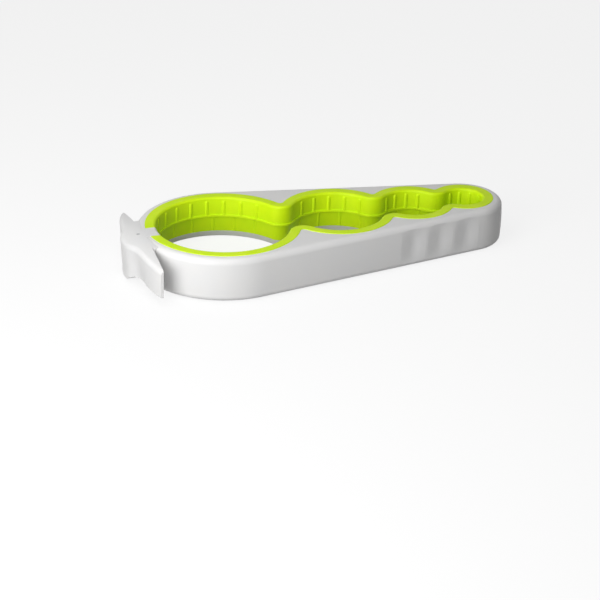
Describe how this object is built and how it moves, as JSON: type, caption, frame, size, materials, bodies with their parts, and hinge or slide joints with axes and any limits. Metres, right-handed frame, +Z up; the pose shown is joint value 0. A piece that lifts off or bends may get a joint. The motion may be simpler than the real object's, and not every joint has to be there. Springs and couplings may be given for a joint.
{
  "type": "jar opener",
  "caption": "Hand jar opener: a tapered casing with graduated round openings joined in a row, each lined with ribbed rubber pads, finger grips at the tail and a lid lifter at the head.",
  "frame": {"origin": "centre of the footprint, on the underside", "axes": "+X along the tool from the large ring's end to the tail, +Z up through the rings, +Y across"},
  "size_m": [0.2294, 0.0988, 0.026],
  "materials": {
    "white_shell": "satin white moulded plastic",
    "white_lifter": "satin white moulded plastic",
    "green_rubber": "smooth lime green soft rubber",
    "pin_steel": "plain steel",
    "screw_steel": "zinc plated steel"
  },
  "bodies": {
    "root": {"casing": "white_shell", "base_cover": "white_shell", "upper_liner": "green_rubber", "lower_liner": "green_rubber", "lid_lifter": "white_lifter", "lifter_pin": "pin_steel", "cover_screws": "screw_steel"}
  },
  "joints": []
}
